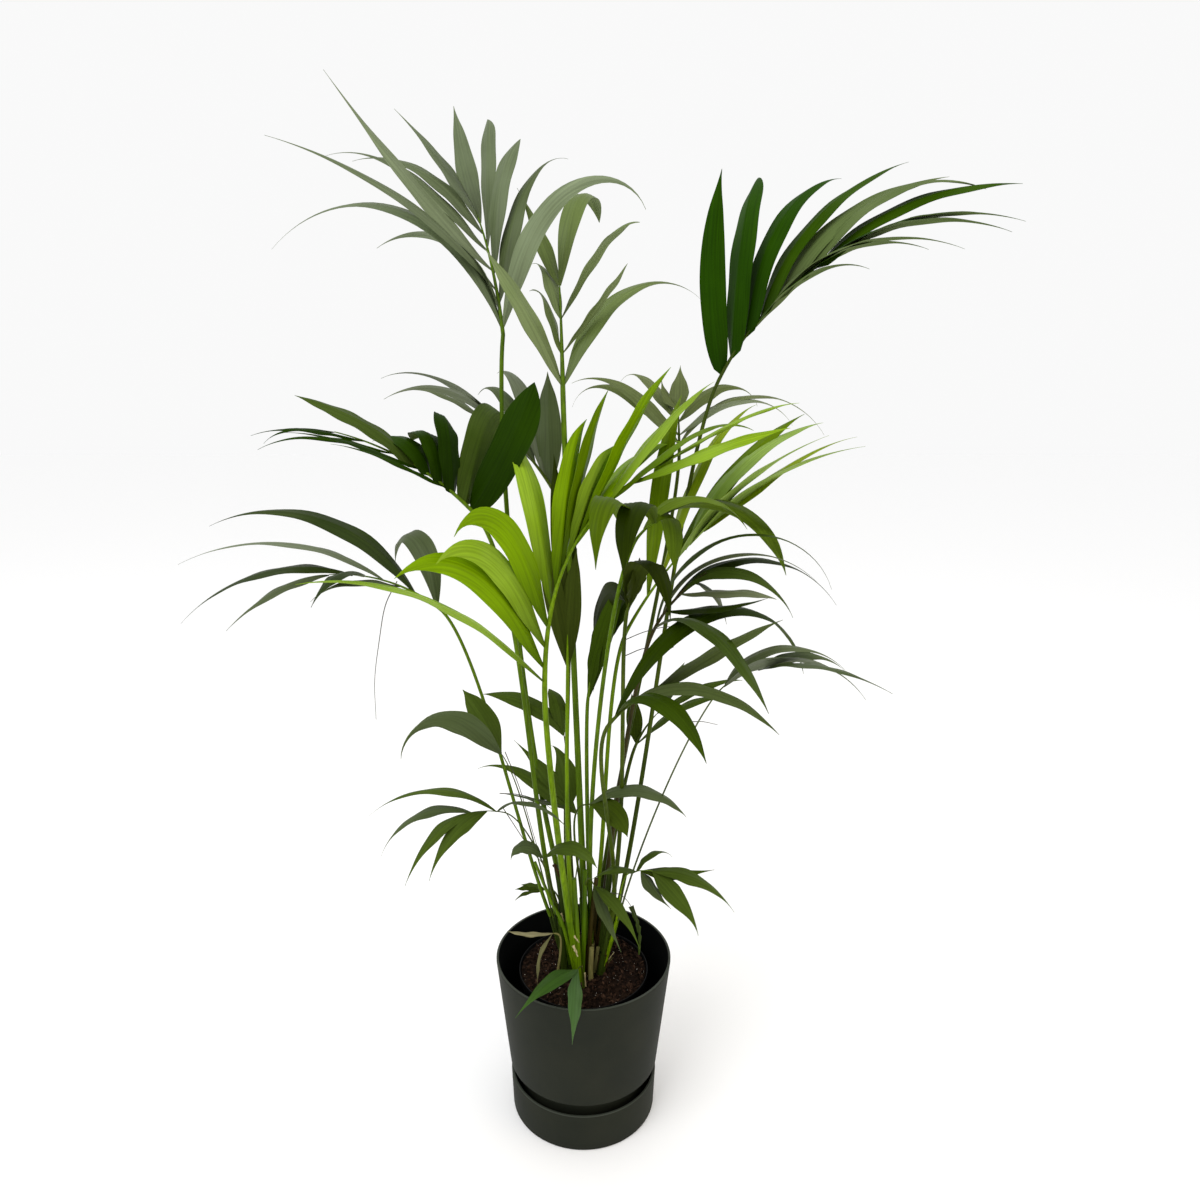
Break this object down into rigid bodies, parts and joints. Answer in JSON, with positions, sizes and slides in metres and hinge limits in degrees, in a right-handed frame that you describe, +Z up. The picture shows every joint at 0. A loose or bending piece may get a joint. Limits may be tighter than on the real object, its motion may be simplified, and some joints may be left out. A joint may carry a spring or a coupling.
{
  "type": "potted kentia palm",
  "caption": "Slender upright palm with arching feathered fronds on thin petioles, standing in a round tapered planter on its own water tray.",
  "frame": {"origin": "middle of the water tray's flat underside, on the floor", "axes": "+Z up along the planter's axis, -Y towards the plant's front, +X to the right as seen from the front"},
  "size_m": [1.0219, 0.54, 1.362],
  "materials": {
    "anthracite_plastic": "moulded, fine matt grain, dark anthracite",
    "black_plastic": "thin formed nursery pot, dull black",
    "potting_soil": "damp peat and bark with white perlite specks",
    "stem": "smooth yellow green sheaths, brown and papery at the foot",
    "petiole": "smooth green, slightly glossy",
    "grey_green_leaf": "dull grey green, satin",
    "deep_green_leaf": "deep green, satin",
    "dark_green_leaf": "dark green, satin",
    "young_green_leaf": "bright yellow green, satin",
    "dried_leaf": "dry and papery, pale tan"
  },
  "bodies": {
    "root": {"water_tray": "anthracite_plastic", "planter": "anthracite_plastic", "nursery_pot": "black_plastic", "root_ball": "potting_soil", "stem_back": "stem", "stem_front": "stem", "stem_left": "stem", "stem_middle": "stem", "stem_right": "stem", "stem_right_back": "stem", "petiole_back_left": "petiole", "petiole_back_right": "petiole", "petiole_curled_front": "petiole", "petiole_curled_low": "petiole", "petiole_low_back": "petiole", "petiole_low_right": "petiole", "petiole_shoulder_left": "petiole", "petiole_side_left": "petiole", "petiole_side_right": "petiole", "petiole_slender_right": "petiole", "petiole_tall_left": "petiole", "petiole_tall_middle": "petiole", "petiole_tall_right": "petiole", "petiole_upright_front": "petiole", "petiole_upright_middle": "petiole", "petiole_young_arching": "petiole", "petiole_young_right": "petiole", "blade_back_left": "grey_green_leaf", "blade_back_right": "grey_green_leaf", "blade_curled_front": "dark_green_leaf", "blade_curled_low": "dark_green_leaf", "blade_low_back": "dark_green_leaf", "blade_low_right": "dark_green_leaf", "blade_shoulder_left": "deep_green_leaf", "blade_side_left": "dark_green_leaf", "blade_side_right": "dark_green_leaf", "blade_slender_right": "deep_green_leaf", "blade_tall_left": "grey_green_leaf", "blade_tall_middle": "grey_green_leaf", "blade_tall_right": "deep_green_leaf", "blade_upright_front": "deep_green_leaf", "blade_upright_middle": "deep_green_leaf", "blade_young_arching": "young_green_leaf", "blade_young_right": "young_green_leaf", "leaf_dried": "dried_leaf", "leaf_drooping_left": "deep_green_leaf", "leaf_fan_right": "deep_green_leaf", "leaf_hanging_middle": "deep_green_leaf", "leaf_over_rim": "deep_green_leaf", "leaf_pair_back": "deep_green_leaf", "leaf_pair_front": "deep_green_leaf", "leaf_pair_left": "deep_green_leaf", "leaf_pair_right": "deep_green_leaf", "leaf_small_back": "deep_green_leaf", "leaf_triple_left": "deep_green_leaf"}
  },
  "joints": []
}
